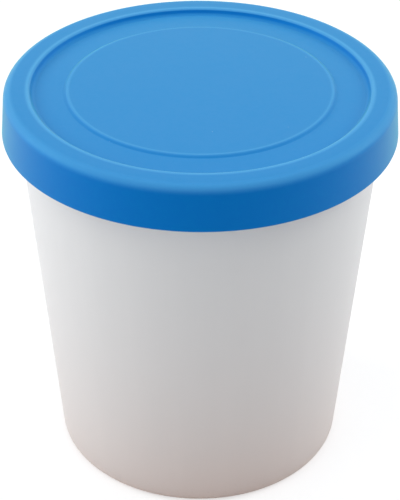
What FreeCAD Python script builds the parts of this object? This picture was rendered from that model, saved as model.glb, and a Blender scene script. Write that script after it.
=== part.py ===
# A tapered one quart ice cream tub with a stretch-on silicone lid.
#
# The tub is closed and opaque, so it is one solid up to the underside of its lid. Its wall leans out
# from a rounded foot to a rim. The lid is a second solid: a cap with a raised band round its edge,
# a sunk panel inside the band, a low disc in the middle of the panel, and a skirt that hangs down
# outside the rim.
#
# Frame: millimetres, +Z up, the origin at the centre of the ring that the tub stands on.
import FreeCAD, Part

import os

import Sketcher

PARTS_FOLDER = "parts"
NEAR = 0.001  # how close a circle has to be to count as the one that is asked for

# (alias, millimetres, what it is)
SIZES = [
    ("TubHeight", 130.4, "ground to the top of the rim"),
    ("BaseRadius", 48.0, "outer face of the wall, carried down to the ground"),
    ("RimRadius", 59.7, "outside of the rim"),
    ("RimOverhang", 1.1, "how far the rim stands out from the wall under it"),
    ("RimHeight", 3.0, "height of the rim's outer face"),
    ("RimRound", 0.7, "rounding of the rim's outer edges"),
    ("BaseRound", 3.0, "rounding where the wall meets the foot"),
    ("FootWidth", 6.0, "width of the foot ring, with the rounding"),
    ("FootRecess", 1.4, "how far the base is raised inside the foot ring"),
    ("FootRecessRun", 0.8, "how far the side of that recess leans in"),
    ("FootRecessRound", 0.5, "rounding of the recess's lower edge"),
    ("GateRadius", 3.2, "moulding mark in the middle of the base"),
    ("GateHeight", 0.5, "how far the mark stands down from the base"),
    ("LidThickness", 2.6, "lid above the tub's rim"),
    ("SkirtThickness", 2.0, "wall of the skirt"),
    ("SkirtHeight", 14.85, "top of the lid to the bottom of its skirt"),
    ("SkirtFlare", 1.25, "how much wider the skirt is at its bottom"),
    ("SkirtEdgeRound", 0.6, "rounding of the skirt's bottom edges"),
    ("LidCorner", 2.7, "rounding between the lid's top and its skirt"),
    ("BandWidth", 8.1, "raised band, from the lid's outer radius to the step"),
    ("StepDepth", 2.0, "how far the panel lies below the band"),
    ("StepRun", 1.0, "how far the step leans in as it goes down"),
    ("StepEdgeRound", 1.0, "rounding at the top of the step"),
    ("StepFootRound", 1.5, "rounding at the foot of the step"),
    ("BorderWidth", 9.7, "panel between the step's foot and the disc"),
    ("PanelCrown", 0.3, "how far the middle of the panel bulges up"),
    ("DiscRise", 0.65, "how far the disc stands above the panel"),
    ("DiscRun", 1.1, "how far the disc's side leans in"),
    ("DiscRound", 0.5, "rounding of the disc's top edge"),
    ("PanelThickness", 2.4, "lid at the panel"),
    ("PlugWall", 2.0, "lid between the step and the inside of the rim"),
    ("RimClearance", 0.3, "gap round the rim, to the skirt and to the plug"),
    ("PanelClearance", 0.3, "gap between the panel and what fills the tub"),
]

# (name, expression on the sheet or on the rows above, what it is)
DERIVED = [
    ("LidTop", "Sizes.TubHeight + Sizes.LidThickness", "ground to the top of the lid"),
    ("LidRadius", "Sizes.RimRadius + Sizes.RimClearance + Sizes.SkirtThickness", "lid at its top"),
    ("SkirtInner", "LidRadius - Sizes.SkirtThickness", "inside of the skirt at its top"),
    ("SkirtBottom", "LidTop - Sizes.SkirtHeight", "ground to the skirt"),
    ("SkirtRadius", "LidRadius + Sizes.SkirtFlare", "skirt at its bottom"),
    ("SkirtMouth", "SkirtRadius - Sizes.SkirtThickness", "inside of the skirt at its bottom"),
    ("StepRadius", "LidRadius - Sizes.BandWidth", "top of the step"),
    ("StepFootRadius", "StepRadius - Sizes.StepRun", "foot of the step"),
    ("DiscFootRadius", "StepFootRadius - Sizes.BorderWidth", "disc where it meets the panel"),
    ("DiscRadius", "DiscFootRadius - Sizes.DiscRun", "disc at its top"),
    ("PlugRadius", "StepRadius + Sizes.PlugWall", "plug that fits inside the rim"),
    ("PanelTop", "LidTop - Sizes.StepDepth", "ground to the panel at its edge"),
    ("DiscFoot", "PanelTop + Sizes.PanelCrown", "ground to the panel round the disc"),
    ("DiscTop", "DiscFoot + Sizes.DiscRise", "ground to the top of the disc"),
    ("PanelUnderside", "PanelTop - Sizes.PanelThickness", "ground to the panel's underside"),
    ("FillLevel", "PanelUnderside - Sizes.PanelClearance", "ground to the top of the contents"),
    ("RimUnderside", "Sizes.TubHeight - Sizes.RimHeight", "ground to the rim"),
    ("RimInner", "PlugRadius + Sizes.RimClearance", "inside of the rim"),
    ("WallTopRadius", "Sizes.RimRadius - Sizes.RimOverhang", "wall where it meets the rim"),
    ("RecessRadius", "Sizes.BaseRadius - Sizes.FootWidth", "inside of the foot ring"),
    ("RecessTopRadius", "RecessRadius - Sizes.FootRecessRun", "raised part of the base"),
    ("GateBottom", "Sizes.FootRecess - Sizes.GateHeight", "ground to the moulding mark"),
]

ON_AXIS = None  # a corner's distance from the axis, where it lies on the axis
ON_GROUND = None  # a corner's height, where it lies on the ground plane

SKETCH_ORIGIN = (-1, 1)  # how Sketcher names its own origin and axes
GROUND_LINE = -1
AXIS_LINE = -2
START, END = 1, 2


def make_sheet(doc):
    """The spreadsheet of driving dimensions: a note, a number and its alias in each row."""
    sheet = doc.addObject("Spreadsheet::Sheet", "Sizes")
    for row, (alias, size, note) in enumerate(SIZES, 1):
        sheet.set(f"A{row}", note)
        sheet.set(f"B{row}", str(size))
        sheet.setAlias(f"B{row}", alias)
    doc.recompute()
    return sheet


def make_derived(doc):
    """A set of named values that follow the sheet."""
    derived = doc.addObject("App::VarSet", "Derived")
    for name, expression, note in DERIVED:
        derived.addProperty("App::PropertyFloat", name, "Derived", note)
        derived.setExpression(name, expression)
    doc.recompute()
    return derived


def measure(size):
    """A size in millimetres, from its reference, such as Sizes.TubHeight."""
    holder, name = size.split(".")
    return float(getattr(FreeCAD.ActiveDocument.getObject(holder), name))


def make_body(doc, label):
    body = doc.addObject("PartDesign::Body", label)
    body.Label = label
    return body


def half_section(body, name, corners):
    """A closed outline in the XZ plane, each corner tied to the sheet by its radius and height."""
    plane = next(f for f in body.Origin.OriginFeatures if f.Role == "XZ_Plane")
    sketch = body.newObject("Sketcher::SketchObject", name)
    sketch.AttachmentSupport = [(plane, "")]
    sketch.MapMode = "FlatFace"
    places = []
    for radius, height in corners:
        across = 0.0 if radius is ON_AXIS else measure(radius)
        up = 0.0 if height is ON_GROUND else measure(height)
        places.append(FreeCAD.Vector(across, up, 0))
    count = len(corners)
    for line, place in enumerate(places):
        sketch.addGeometry(Part.LineSegment(place, places[(line + 1) % count]))
    for line in range(count):
        sketch.addConstraint(
            Sketcher.Constraint("Coincident", line, END, (line + 1) % count, START)
        )
    for line, (radius, height) in enumerate(corners):
        pin_corner(sketch, line, "DistanceX", AXIS_LINE, radius)
        pin_corner(sketch, line, "DistanceY", GROUND_LINE, height)
    return sketch


def pin_corner(sketch, line, kind, datum_line, expression):
    """Holds a line's start at a distance from the origin, or on the axis or ground line."""
    if expression is None:
        sketch.addConstraint(
            Sketcher.Constraint("PointOnObject", line, START, datum_line)
        )
        return
    size = measure(expression)
    number = sketch.addConstraint(
        Sketcher.Constraint(kind, *SKETCH_ORIGIN, line, START, size)
    )
    sketch.setExpression(f"Constraints[{number}]", expression)


def turn(body, kind, name, corners):
    """Turns a half section round the Z axis: kind is Revolution to add and Groove to cut."""
    sketch = half_section(body, f"{name}_section", corners)
    feature = body.newObject(f"PartDesign::{kind}", name)
    feature.Profile = sketch
    feature.ReferenceAxis = (sketch, ["V_Axis"])
    feature.Angle = 360
    body.Document.recompute()
    return feature


def round_ring(body, name, radius, height, round_alias):
    """Rounds the circular edge at this radius and height."""
    base = body.Tip
    wanted = (measure(radius), measure(height) if height is not ON_GROUND else 0.0)
    edges = []
    for number, edge in enumerate(base.Shape.Edges, 1):
        if isinstance(edge.Curve, Part.Circle):
            found = (edge.Curve.Radius, edge.Curve.Center.z)
            if max(abs(a - b) for a, b in zip(found, wanted)) < NEAR:
                edges.append(f"Edge{number}")
    if not edges:
        raise ValueError(f"{name}: no edge of radius {wanted[0]} at height {wanted[1]}")
    fillet = body.newObject("PartDesign::Fillet", name)
    fillet.Base = (base, edges)
    fillet.setExpression("Radius", f"Sizes.{round_alias}")
    body.Document.recompute()
    return fillet


def make_tub(doc):
    """The closed tub: foot ring, leaning wall, rim, and the contents' level inside the rim."""
    body = make_body(doc, "tub")
    turn(
        body,
        "Revolution",
        "tub_wall",
        [
            (ON_AXIS, ON_GROUND),
            ("Sizes.BaseRadius", ON_GROUND),
            ("Derived.WallTopRadius", "Derived.RimUnderside"),
            ("Sizes.RimRadius", "Derived.RimUnderside"),
            ("Sizes.RimRadius", "Sizes.TubHeight"),
            ("Derived.RimInner", "Sizes.TubHeight"),
            ("Derived.RimInner", "Derived.FillLevel"),
            (ON_AXIS, "Derived.FillLevel"),
        ],
    )
    turn(
        body,
        "Groove",
        "foot_recess",
        [
            (ON_AXIS, ON_GROUND),
            ("Derived.RecessRadius", ON_GROUND),
            ("Derived.RecessTopRadius", "Sizes.FootRecess"),
            (ON_AXIS, "Sizes.FootRecess"),
        ],
    )
    turn(
        body,
        "Revolution",
        "gate_mark",
        [
            (ON_AXIS, "Derived.GateBottom"),
            ("Sizes.GateRadius", "Derived.GateBottom"),
            ("Sizes.GateRadius", "Sizes.FootRecess"),
            (ON_AXIS, "Sizes.FootRecess"),
        ],
    )
    round_ring(body, "base_round", "Sizes.BaseRadius", ON_GROUND, "BaseRound")
    round_ring(body, "recess_round", "Derived.RecessRadius", ON_GROUND, "FootRecessRound")
    round_ring(body, "rim_top_round", "Sizes.RimRadius", "Sizes.TubHeight", "RimRound")
    round_ring(body, "rim_under_round", "Sizes.RimRadius", "Derived.RimUnderside", "RimRound")
    return body


def make_lid(doc):
    """The silicone cap, with the channel under its band that takes the tub's rim."""
    body = make_body(doc, "lid")
    turn(
        body,
        "Revolution",
        "lid_cap",
        [
            (ON_AXIS, "Derived.LidTop"),
            ("Derived.LidRadius", "Derived.LidTop"),
            ("Derived.SkirtRadius", "Derived.SkirtBottom"),
            ("Derived.SkirtMouth", "Derived.SkirtBottom"),
            ("Derived.SkirtInner", "Sizes.TubHeight"),
            ("Derived.PlugRadius", "Sizes.TubHeight"),
            ("Derived.PlugRadius", "Derived.PanelUnderside"),
            (ON_AXIS, "Derived.PanelUnderside"),
        ],
    )
    turn(
        body,
        "Groove",
        "sunk_panel",
        [
            (ON_AXIS, "Derived.LidTop"),
            ("Derived.StepRadius", "Derived.LidTop"),
            ("Derived.StepFootRadius", "Derived.PanelTop"),
            ("Derived.DiscFootRadius", "Derived.DiscFoot"),
            (ON_AXIS, "Derived.DiscFoot"),
        ],
    )
    turn(
        body,
        "Revolution",
        "centre_disc",
        [
            (ON_AXIS, "Derived.DiscFoot"),
            ("Derived.DiscFootRadius", "Derived.DiscFoot"),
            ("Derived.DiscRadius", "Derived.DiscTop"),
            (ON_AXIS, "Derived.DiscTop"),
        ],
    )
    round_ring(body, "lid_corner", "Derived.LidRadius", "Derived.LidTop", "LidCorner")
    round_ring(body, "step_edge", "Derived.StepRadius", "Derived.LidTop", "StepEdgeRound")
    round_ring(body, "step_foot", "Derived.StepFootRadius", "Derived.PanelTop", "StepFootRound")
    round_ring(body, "disc_edge", "Derived.DiscRadius", "Derived.DiscTop", "DiscRound")
    round_ring(body, "skirt_outer", "Derived.SkirtRadius", "Derived.SkirtBottom", "SkirtEdgeRound")
    round_ring(
        body,
        "skirt_inner",
        "Derived.SkirtMouth",
        "Derived.SkirtBottom",
        "SkirtEdgeRound",
    )
    return body


def check(doc, bodies):
    """Stops if any object failed to build or a body isn't one valid solid."""
    doc.recompute()
    for item in doc.Objects:
        if {"Invalid", "Error"} & set(item.State):
            raise ValueError(f"{item.Label} did not build: {item.State}")
    for body in bodies:
        shape = body.Shape
        if shape.isNull() or not shape.isValid() or len(shape.Solids) != 1:
            raise ValueError(f"{body.Label} is not one valid solid")


def write(bodies):
    """One STEP file for each body, named by its label."""
    os.makedirs(PARTS_FOLDER, exist_ok=True)
    for body in bodies:
        body.Shape.exportStep(os.path.join(PARTS_FOLDER, f"{body.Label}.step"))
        box = body.Shape.optimalBoundingBox(False, False)
        print(
            f"{body.Label}: {box.XLength:.2f} x {box.YLength:.2f} x {box.ZLength:.2f} mm, "
            f"z {box.ZMin:.2f} to {box.ZMax:.2f}, {body.Shape.Volume / 1000:.1f} ml"
        )


def main():
    doc = FreeCAD.newDocument("IceCreamTub")
    make_sheet(doc)
    make_derived(doc)
    bodies = [make_tub(doc), make_lid(doc)]
    check(doc, bodies)
    write(bodies)


main()
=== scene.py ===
import math

import bmesh
import bpy
from mathutils import Matrix, Vector


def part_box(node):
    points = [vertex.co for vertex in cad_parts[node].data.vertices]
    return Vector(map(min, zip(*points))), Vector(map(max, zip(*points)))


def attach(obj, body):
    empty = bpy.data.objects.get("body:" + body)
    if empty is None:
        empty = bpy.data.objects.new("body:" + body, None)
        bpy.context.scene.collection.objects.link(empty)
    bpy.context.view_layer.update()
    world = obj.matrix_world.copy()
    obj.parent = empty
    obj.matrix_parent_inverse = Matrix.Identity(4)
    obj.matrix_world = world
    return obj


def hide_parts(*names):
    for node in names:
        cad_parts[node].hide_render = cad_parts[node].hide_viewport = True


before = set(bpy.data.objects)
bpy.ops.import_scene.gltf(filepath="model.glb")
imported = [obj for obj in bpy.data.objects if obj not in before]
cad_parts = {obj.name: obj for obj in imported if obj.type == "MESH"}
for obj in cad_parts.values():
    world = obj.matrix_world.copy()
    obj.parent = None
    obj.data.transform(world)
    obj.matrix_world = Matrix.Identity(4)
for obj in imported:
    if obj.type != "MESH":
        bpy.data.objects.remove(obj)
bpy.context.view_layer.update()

MM = 0.001

# Places that the frame gives.
_, TUB_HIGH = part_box("tub")
LID_LOW, LID_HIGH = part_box("lid")
RIM_TOP = TUB_HIGH.z
RIM_RADIUS = TUB_HIGH.x
LID_TOP = LID_HIGH.z
HEM_HEIGHT = LID_LOW.z

# The tub: foot, wall and rim.
BASE_RADIUS = 48.0 * MM
BASE_ROUND = 3.0 * MM
FOOT_WIDTH = 6.0 * MM
RECESS_DEPTH = 1.4 * MM
RECESS_RUN = 0.8 * MM
RECESS_ROUND = 0.5 * MM
RECESS_INNER_ROUND = 0.4 * MM
GATE_RADIUS = 3.2 * MM
GATE_HEIGHT = 0.5 * MM
GATE_RUN = 0.2 * MM
GATE_ROUND = 0.15 * MM
GATE_INNER_ROUND = 0.2 * MM
RIM_HEIGHT = 3.0 * MM
RIM_OVERHANG = 1.1 * MM
RIM_ROUND = 0.7 * MM
RIM_INNER_ROUND = 0.3 * MM

# The lid: skirt, band, step, panel and disc.
SKIRT_THICKNESS = 2.0 * MM
SKIRT_FLARE = 1.25 * MM
HEM_ROUND = 0.6 * MM
LID_CORNER = 2.7 * MM
BAND_WIDTH = 8.1 * MM
STEP_DEPTH = 2.0 * MM
STEP_RUN = 1.0 * MM
STEP_EDGE_ROUND = 1.0 * MM
STEP_FOOT_ROUND = 1.5 * MM
BORDER_WIDTH = 9.7 * MM
PANEL_CROWN = 0.3 * MM
DISC_RISE = 0.65 * MM
DISC_RUN = 1.1 * MM
DISC_ROUND = 0.5 * MM
PANEL_THICKNESS = 2.4 * MM
PLUG_WALL = 2.0 * MM
RIM_CLEARANCE = 0.3 * MM
PANEL_CLEARANCE = 0.3 * MM
CHANNEL_ROUND = 0.5 * MM

LID_RADIUS = RIM_RADIUS + RIM_CLEARANCE + SKIRT_THICKNESS
HEM_RADIUS = LID_RADIUS + SKIRT_FLARE
STEP_RADIUS = LID_RADIUS - BAND_WIDTH
STEP_FOOT_RADIUS = STEP_RADIUS - STEP_RUN
DISC_FOOT_RADIUS = STEP_FOOT_RADIUS - BORDER_WIDTH
DISC_RADIUS = DISC_FOOT_RADIUS - DISC_RUN
PLUG_RADIUS = STEP_RADIUS + PLUG_WALL
PANEL_TOP = LID_TOP - STEP_DEPTH
DISC_FOOT = PANEL_TOP + PANEL_CROWN
DISC_TOP = DISC_FOOT + DISC_RISE
PANEL_UNDERSIDE = PANEL_TOP - PANEL_THICKNESS
FILL_LEVEL = PANEL_UNDERSIDE - PANEL_CLEARANCE
WALL_TOP_RADIUS = RIM_RADIUS - RIM_OVERHANG
RECESS_RADIUS = BASE_RADIUS - FOOT_WIDTH

# The camera: a long lens that looks down from the front.
CAMERA_LENS = 121.62
CAMERA_ELEVATION = 33.93
CAMERA_ROLL = 0.3
CAMERA_DISTANCE = 568.3 * MM
CAMERA_AIM = Vector((0.15, 0.0, 69.74)) * MM

# The studio. A softbox is (name, azimuth, elevation, width, height, watts).
WORLD_STRENGTH = 0.405
WORLD_TONE = (0.94, 0.995, 1.06, 1.0)
SOFTBOXES = [
    ("left_softbox", 261, 31, 0.7, 0.7, 5.8),
    ("right_softbox", 102, 32, 0.7, 0.7, 5.7),
    ("front_softbox", 300, 15, 0.7, 0.7, 2.2),
    ("back_softbox", 180, 50, 0.9, 0.6, 0.6),
    ("top_softbox", 0, 76, 0.9, 0.9, 3.0),
]
LIGHTS_AIM = 80.0 * MM
LIGHTS_DISTANCE = 1.2
FLOOR_RADIUS = 4.0

# The floor: its light on the tub, how far from the axis that stays warm, and what the camera sees.
# Its glow grows with the distance from the axis, from the first value to the second.
FLOOR_TONE = (0.79, 0.79, 0.79, 1.0)
WARM_TONE = (0.62, 0.38, 0.28, 1.0)
WARM_REACH = 0.2
FLOOR_SHOWN = 0.5
GLOW_NEAR, GLOW_FAR = 0.6, 1.0
GLOW_START, GLOW_END = 0.3, 0.9

# The tub's colours: the two shades that its cloudiness runs between, and its scuffs.
TUB_SHADES = [(0.776, 0.784, 0.785, 1.0), (0.824, 0.828, 0.824, 1.0)]
SCUFF_TONE = (0.50, 0.47, 0.43, 1.0)
SCUFF_LOW, SCUFF_HIGH = 1.5 * MM, 11.0 * MM

# The lid's colours: clean, paler where it faces up (painted light), paler along its edges (painted
# highlights), mottled, and where a speck of lint lies.
LID_DEEP = (0.0, 0.162, 0.560, 1.0)
# Painted light: what faces up is given this paler colour.
LID_TOP_LIGHT = (0.027, 0.238, 0.605, 1.0)
# Painted highlight: the paler colour given to the lid's edges.
LID_EDGE_HIGHLIGHT = (0.11, 0.42, 0.78, 1.0)
LID_MOTTLE = (0.0, 0.225, 0.58, 1.0)
LINT_TONE = (0.62, 0.72, 0.80, 1.0)

# Painted highlights along the lid's edges: (radius, reach, height of the edge, depth, strength).
HIGHLIGHTED_EDGES = [
    (LID_RADIUS - 0.8 * MM, 2.2 * MM, LID_TOP, 3.1 * MM, 0.42),
    (STEP_RADIUS + 0.45 * MM, 1.4 * MM, LID_TOP, 0.6 * MM, 0.60),
    (DISC_RADIUS - 0.1 * MM, 0.9 * MM, DISC_TOP, 0.4 * MM, 0.38),
]

# How fine the turned meshes are.
TURN_STEPS = 256
ROUND_STEPS = 6
LONGEST_SPAN = 3.0 * MM
SAME_POINT = 0.01 * MM


# ---------------------------------------------------------------- turned shapes


def draw_section(bm, corners):
    """Half of a cross-section: a chain of corners, each (radius, height, rounding)."""
    chain = [bm.verts.new((radius, 0.0, height)) for radius, height, _ in corners]
    for start, end in zip(chain, chain[1:]):
        bm.edges.new((start, end))
    for corner, (_, _, rounding) in zip(chain, corners):
        if rounding:
            round_corner(bm, corner, rounding)


def round_corner(bm, corner, rounding):
    """Turns a corner of the chain into an arc of this radius."""
    ways = [(edge.other_vert(corner).co - corner.co) for edge in corner.link_edges]
    turn = math.pi - ways[0].angle(ways[1])
    bmesh.ops.bevel(
        bm,
        geom=[corner],
        offset=rounding * math.tan(turn / 2),
        offset_type="OFFSET",
        segments=ROUND_STEPS,
        profile=0.5,
        affect="VERTICES",
        material=-1,
        clamp_overlap=False,
    )


def split_long_edges(bm):
    """Cuts the straight runs of the chain into spans no longer than LONGEST_SPAN."""
    for edge in list(bm.edges):
        cuts = math.ceil(edge.calc_length() / LONGEST_SPAN) - 1
        if cuts > 0:
            bmesh.ops.subdivide_edges(bm, edges=[edge], cuts=cuts)


def turn_piece(name, corners):
    """A closed piece made by turning a half cross-section round the Z axis."""
    bm = bmesh.new()
    draw_section(bm, corners)
    split_long_edges(bm)
    bmesh.ops.spin(
        bm,
        geom=bm.verts[:] + bm.edges[:],
        cent=(0, 0, 0),
        axis=(0, 0, 1),
        angle=math.tau,
        steps=TURN_STEPS,
        use_merge=True,
    )
    bmesh.ops.remove_doubles(bm, verts=bm.verts, dist=SAME_POINT)
    bmesh.ops.recalc_face_normals(bm, faces=bm.faces)
    for face in bm.faces:
        face.smooth = True
    mesh = bpy.data.meshes.new(name)
    bm.to_mesh(mesh)
    bm.free()
    piece = bpy.data.objects.new(name, mesh)
    bpy.context.scene.collection.objects.link(piece)
    shading = piece.modifiers.new("flat faces stay flat", "WEIGHTED_NORMAL")
    shading.mode = "FACE_AREA"
    shading.weight = 50
    return piece


def make_tub():
    """The tub up to its contents' level: foot ring, recessed base, leaning wall and rim."""
    gate_bottom = RECESS_DEPTH - GATE_HEIGHT
    return turn_piece(
        "tub_body",
        [
            (0.0, gate_bottom, 0.0),
            (GATE_RADIUS, gate_bottom, GATE_ROUND),
            (GATE_RADIUS + GATE_RUN, RECESS_DEPTH, GATE_INNER_ROUND),
            (RECESS_RADIUS - RECESS_RUN, RECESS_DEPTH, RECESS_INNER_ROUND),
            (RECESS_RADIUS, 0.0, RECESS_ROUND),
            (BASE_RADIUS, 0.0, BASE_ROUND),
            (WALL_TOP_RADIUS, RIM_TOP - RIM_HEIGHT, RIM_INNER_ROUND),
            (RIM_RADIUS, RIM_TOP - RIM_HEIGHT, RIM_ROUND),
            (RIM_RADIUS, RIM_TOP, RIM_ROUND),
            (PLUG_RADIUS + RIM_CLEARANCE, RIM_TOP, RIM_INNER_ROUND),
            (PLUG_RADIUS + RIM_CLEARANCE, FILL_LEVEL, 0.0),
            (0.0, FILL_LEVEL, 0.0),
        ],
    )


def make_lid():
    """The cap: disc, panel, step, band and skirt, with the channel that grips the rim."""
    return turn_piece(
        "stretch_lid",
        [
            (0.0, DISC_TOP, 0.0),
            (DISC_RADIUS, DISC_TOP, DISC_ROUND),
            (DISC_FOOT_RADIUS, DISC_FOOT, DISC_ROUND),
            (STEP_FOOT_RADIUS, PANEL_TOP, STEP_FOOT_ROUND),
            (STEP_RADIUS, LID_TOP, STEP_EDGE_ROUND),
            (LID_RADIUS, LID_TOP, LID_CORNER),
            (HEM_RADIUS, HEM_HEIGHT, HEM_ROUND),
            (HEM_RADIUS - SKIRT_THICKNESS, HEM_HEIGHT, HEM_ROUND),
            (LID_RADIUS - SKIRT_THICKNESS, RIM_TOP, CHANNEL_ROUND),
            (PLUG_RADIUS, RIM_TOP, CHANNEL_ROUND),
            (PLUG_RADIUS, PANEL_UNDERSIDE, CHANNEL_ROUND),
            (0.0, PANEL_UNDERSIDE, 0.0),
        ],
    )


# ---------------------------------------------------------------- shader wiring


class Wire:
    """A node's output that can be used in sums."""

    def __init__(self, finish, socket):
        self.finish = finish
        self.socket = socket

    def math(self, operation, *values):
        settings = {"operation": operation}
        return self.finish.node("ShaderNodeMath", settings, dict(enumerate(values)))

    def __add__(self, other):
        return self.math("ADD", self, other)

    def __radd__(self, other):
        return self.math("ADD", other, self)

    def __sub__(self, other):
        return self.math("SUBTRACT", self, other)

    def __mul__(self, other):
        return self.math("MULTIPLY", self, other)

    def __rmul__(self, other):
        return self.math("MULTIPLY", other, self)

    def __truediv__(self, other):
        return self.math("DIVIDE", self, other)

    def __pow__(self, other):
        return self.math("POWER", self, other)

    def __abs__(self):
        return self.math("ABSOLUTE", self)


class Finish:
    """A material, or the world, and the nodes in it."""

    def __init__(self, name, tree=None):
        self.material = None
        if tree is None:
            self.material = bpy.data.materials.new(name)
            self.material.use_nodes = True
            tree = self.material.node_tree
        self.tree = tree
        self.tree.nodes.clear()

    def node(self, kind, settings=None, sockets=None, output=0):
        """Adds a node: its settings first, then what its sockets hold or are wired to."""
        added = self.tree.nodes.new(kind)
        for name, value in (settings or {}).items():
            setattr(added, name, value)
        for name, value in (sockets or {}).items():
            if isinstance(value, Wire):
                self.tree.links.new(value.socket, added.inputs[name])
            else:
                added.inputs[name].default_value = value
        return Wire(self, added.outputs[output]) if added.outputs else None

    def fade(self, value, start, end):
        """0 where the value is at start, 1 where it is at end, and smooth between."""
        return self.node(
            "ShaderNodeMapRange",
            {"interpolation_type": "SMOOTHSTEP"},
            {"Value": value, "From Min": start, "From Max": end},
        )

    def blend(self, amount, first, second):
        """The first colour where the amount is 0, the second where it is 1."""
        return self.node(
            "ShaderNodeMix",
            {"data_type": "RGBA"},
            {0: amount, 6: first, 7: second},
            output=2,
        )

    def noise(self, place, scale, detail=2.0, roughness=0.5):
        """Soft cloudy noise, mostly between 0.3 and 0.7; its scale is in lumps for each metre."""
        return self.node(
            "ShaderNodeTexNoise",
            {},
            {"Vector": place, "Scale": scale, "Detail": detail, "Roughness": roughness},
        )

    def parts(self, vector):
        """The three numbers in a vector."""
        split = self.node("ShaderNodeSeparateXYZ", {}, {0: vector})
        return [Wire(self, output) for output in split.socket.node.outputs]

    def place(self):
        """Where the shaded point is on the object, in metres."""
        return self.node("ShaderNodeTexCoord", output=3)

    def facing(self):
        """How far the surface faces up: 1 on top, 0 on a wall, -1 underneath."""
        return self.parts(self.node("ShaderNodeTexCoord", output=1))[2]

    def round_the_axis(self, place, around, along):
        """A vector for marks that follow the turning: lumps round the axis, and for each metre up."""
        x, y, z = self.parts(place)
        radius = self.radius(place)
        radius = radius.math("MAXIMUM", radius, SAME_POINT)
        pieces = {0: x / radius * around, 1: y / radius * around, 2: z * along}
        return self.node("ShaderNodeCombineXYZ", {}, pieces)

    def radius(self, place):
        """The distance from the Z axis."""
        x, y, _ = self.parts(place)
        return (x * x + y * y) ** 0.5

    def background_rays(self):
        """1 for the rays that show the background: the camera's, and those of gloss and glass."""
        rays = self.node("ShaderNodeLightPath").socket.node.outputs
        shown = Wire(self, rays["Is Camera Ray"])
        for kind in ("Is Glossy Ray", "Is Transmission Ray"):
            shown = shown.math("MAXIMUM", shown, Wire(self, rays[kind]))
        return shown

    def bump(self, height, depth, strength, under=None):
        """A normal that is roughened by a height, on top of another one if there is one."""
        sockets = {"Strength": strength, "Distance": depth, "Height": height}
        if under:
            sockets["Normal"] = under
        return self.node("ShaderNodeBump", {}, sockets)

    def shade(self, shader):
        self.node("ShaderNodeOutputMaterial", {}, {"Surface": shader})
        return self.material


def grey(level):
    return (level, level, level, 1.0)


# ---------------------------------------------------------------- materials


def tub_plastic():
    """White satin polypropylene: spark-eroded grain, faint flow streaks and a scuffed foot."""
    finish = Finish("tub_plastic")
    place = finish.place()
    _, _, height = finish.parts(place)
    cloud = finish.noise(place, 30.0, detail=3.0)
    streak = finish.noise(finish.round_the_axis(place, 9.0, 6.0), 1.0, detail=4.0, roughness=0.6)
    grain = finish.noise(place, 2400.0, detail=2.0)
    ripple = finish.noise(place, 90.0, detail=1.0)
    low = finish.fade(height, SCUFF_HIGH, SCUFF_LOW)
    scuffs_and_edge_highlights = finish.noise(finish.round_the_axis(place, 40.0, 2600.0), 1.0, detail=3.0, roughness=0.7)
    scuff = low * finish.fade(scuffs_and_edge_highlights, 0.56, 0.72)

    moulded = finish.blend(0.5 * cloud + 0.5 * streak, *TUB_SHADES)
    colour = finish.blend(0.22 * scuff, moulded, SCUFF_TONE)
    waves = finish.bump(ripple, 0.15 * MM, 0.12)
    return finish.shade(
        finish.node(
            "ShaderNodeBsdfPrincipled",
            {},
            {
                "Base Color": colour,
                "Roughness": 0.40 + 0.10 * cloud + 0.15 * scuff,
                "Normal": finish.bump(grain, 0.02 * MM, 0.3, under=waves),
                "IOR": 1.49,
                "Specular IOR Level": 0.3,
                "Subsurface Weight": 0.40,
                "Subsurface Radius": (1.0, 1.0, 1.0),
                "Subsurface Scale": 12.0 * MM,
            },
        )
    )


def painted_edge_highlight(finish, place):
    """How much painted highlights pale the lid's raised edges."""
    _, _, height = finish.parts(place)
    radius = finish.radius(place)
    scuffs_and_edge_highlights = 0.0
    for edge_radius, width, top, depth, strength in HIGHLIGHTED_EDGES:
        across = finish.fade(abs(radius - edge_radius), width, 0.2 * width)
        down = finish.fade(height, top - depth, top - 0.3 * depth)
        scuffs_and_edge_highlights = strength * across * down + scuffs_and_edge_highlights
    return scuffs_and_edge_highlights


def lint(finish, place):
    """1 on sparse specks of freezer dust and lint, which lie only on what faces up."""
    cells = finish.node(
        "ShaderNodeTexVoronoi", {}, {"Vector": place, "Scale": 260.0}, output=0
    )
    chosen = finish.parts(Wire(finish, cells.socket.node.outputs["Color"]))[0]
    speck = finish.fade(cells, 0.055, 0.03) * finish.fade(chosen, 0.90, 0.92)
    return speck * finish.fade(finish.facing(), 0.8, 0.95)


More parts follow.
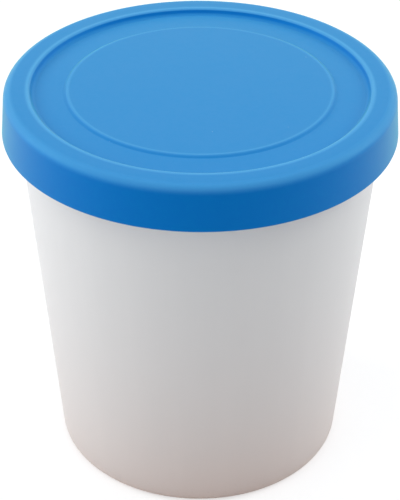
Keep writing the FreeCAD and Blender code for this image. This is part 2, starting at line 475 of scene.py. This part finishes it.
def lid_silicone():
    """Matte blue silicone, with painted light that makes what faces up paler, painted highlights
    along its edges and a little lint.
    """
    finish = Finish("lid_silicone")
    place = finish.place()
    cloud = finish.noise(place, 45.0, detail=4.0, roughness=0.6)
    mottle = finish.noise(place, 420.0, detail=3.0, roughness=0.65)
    grain = finish.noise(place, 1900.0, detail=2.0)
    ripple = finish.noise(place, 60.0, detail=1.0)

    # Painted light: the faces that look up are paler, as a lit top would be.
    top_light = finish.fade(finish.facing(), 0.3, 0.97) * (0.92 + 0.16 * cloud)
    clean = finish.blend(top_light, LID_DEEP, LID_TOP_LIGHT)
    # Painted highlights: the lid's raised edges and outer corner are paled.
    edge_highlighted = finish.blend(painted_edge_highlight(finish, place) * (0.7 + 0.6 * mottle), clean, LID_EDGE_HIGHLIGHT)
    spotted = finish.blend(0.10 * finish.fade(mottle, 0.42, 0.62), edge_highlighted, LID_MOTTLE)
    colour = finish.blend(0.45 * lint(finish, place), spotted, LINT_TONE)
    waves = finish.bump(ripple, 0.2 * MM, 0.10)
    return finish.shade(
        finish.node(
            "ShaderNodeBsdfPrincipled",
            {},
            {
                "Base Color": colour,
                "Roughness": 0.34 + 0.12 * cloud + 0.06 * mottle,
                "Normal": finish.bump(grain, 0.02 * MM, 0.35, under=waves),
                "IOR": 1.41,
                "Specular IOR Level": 0.3,
                "Specular Tint": (0.05, 0.80, 1.0, 1.0),
                "Sheen Weight": 0.60,
                "Sheen Roughness": 0.40,
                "Sheen Tint": (0.28, 1.0, 0.84, 1.0),
            },
        )
    )


def studio_floor():
    """White to the camera, but for the object's shadow; near the tub it gives back warm light."""
    finish = Finish("studio_floor")
    radius = finish.radius(finish.place())
    near = finish.fade(radius, WARM_REACH, BASE_RADIUS)
    glow_strength = GLOW_NEAR + (GLOW_FAR - GLOW_NEAR) * finish.fade(radius, GLOW_START, GLOW_END)
    tone = finish.blend(near, FLOOR_TONE, WARM_TONE)
    lit = finish.node("ShaderNodeBsdfDiffuse", {}, {"Color": tone})
    pale = finish.node("ShaderNodeBsdfDiffuse", {}, {"Color": grey(FLOOR_SHOWN)})
    glow = finish.node("ShaderNodeEmission", {}, {"Color": grey(1.0), "Strength": glow_strength})
    shown = finish.node("ShaderNodeAddShader", {}, {0: pale, 1: glow})
    above = finish.node("ShaderNodeMixShader", {}, {0: finish.background_rays(), 1: lit, 2: shown})
    behind = finish.node("ShaderNodeNewGeometry", output=6)
    clear = finish.node("ShaderNodeBsdfTransparent")
    return finish.shade(finish.node("ShaderNodeMixShader", {}, {0: behind, 1: above, 2: clear}))


# ---------------------------------------------------------------- studio


def make_floor():
    bm = bmesh.new()
    bmesh.ops.create_circle(bm, cap_ends=True, radius=FLOOR_RADIUS, segments=96)
    mesh = bpy.data.meshes.new("studio_floor")
    bm.to_mesh(mesh)
    bm.free()
    floor = bpy.data.objects.new("studio_floor", mesh)
    bpy.context.scene.collection.objects.link(floor)
    floor.data.materials.append(studio_floor())


def add_softbox(name, azimuth, elevation, width, height, power):
    """A soft lamp that faces the tub: azimuth 0 is in front of it and 90 to its right."""
    turn, rise = math.radians(azimuth), math.radians(elevation)
    outward = Vector(
        (math.sin(turn) * math.cos(rise), -math.cos(turn) * math.cos(rise), math.sin(rise))
    )
    lamp = bpy.data.lights.new(name, "AREA")
    lamp.shape = "RECTANGLE"
    lamp.size = width
    lamp.size_y = height
    lamp.energy = power
    box = bpy.data.objects.new(name, lamp)
    place = Vector((0.0, 0.0, LIGHTS_AIM)) + outward * LIGHTS_DISTANCE
    facing = (-outward).to_track_quat("-Z", "Y").to_matrix().to_4x4()
    box.matrix_world = Matrix.Translation(place) @ facing
    bpy.context.scene.collection.objects.link(box)


def light_world(strength):
    """Even soft light from all round, in front of a white background."""
    world = bpy.data.worlds.new("studio")
    world.use_nodes = True
    finish = Finish("world_wiring", world.node_tree)
    soft = finish.node("ShaderNodeBackground", {}, {"Color": WORLD_TONE, "Strength": strength})
    white = finish.node("ShaderNodeBackground", {}, {"Color": grey(1.0), "Strength": 1.0})
    shown = finish.node("ShaderNodeMixShader", {}, {0: finish.background_rays(), 1: soft, 2: white})
    finish.node("ShaderNodeOutputWorld", {}, {"Surface": shown})
    bpy.context.scene.world = world


def add_camera():
    """A long lens that looks down on the tub from the front."""
    camera = bpy.data.cameras.new("camera")
    camera.sensor_width = 36.0
    camera.lens = CAMERA_LENS
    camera.clip_start = 0.01
    holder = bpy.data.objects.new("camera", camera)
    slope = math.radians(CAMERA_ELEVATION)
    back = Vector((0.0, -math.cos(slope), math.sin(slope)))
    tip = Matrix.Rotation(math.pi / 2 - slope, 4, "X")
    roll = Matrix.Rotation(math.radians(CAMERA_ROLL), 4, "Z")
    holder.matrix_world = Matrix.Translation(CAMERA_AIM + back * CAMERA_DISTANCE) @ tip @ roll
    bpy.context.scene.collection.objects.link(holder)
    bpy.context.scene.camera = holder


def main():
    add_camera()
    make_floor()
    light_world(WORLD_STRENGTH)
    for name, azimuth, elevation, width, height, power in SOFTBOXES:
        add_softbox(name, azimuth, elevation, width, height, power)

    tub = make_tub()
    tub.data.materials.append(tub_plastic())
    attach(tub, "root")
    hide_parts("tub")

    lid = make_lid()
    lid.data.materials.append(lid_silicone())
    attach(lid, "root")
    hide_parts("lid")

    bpy.context.scene.view_settings.view_transform = "Standard"


main()
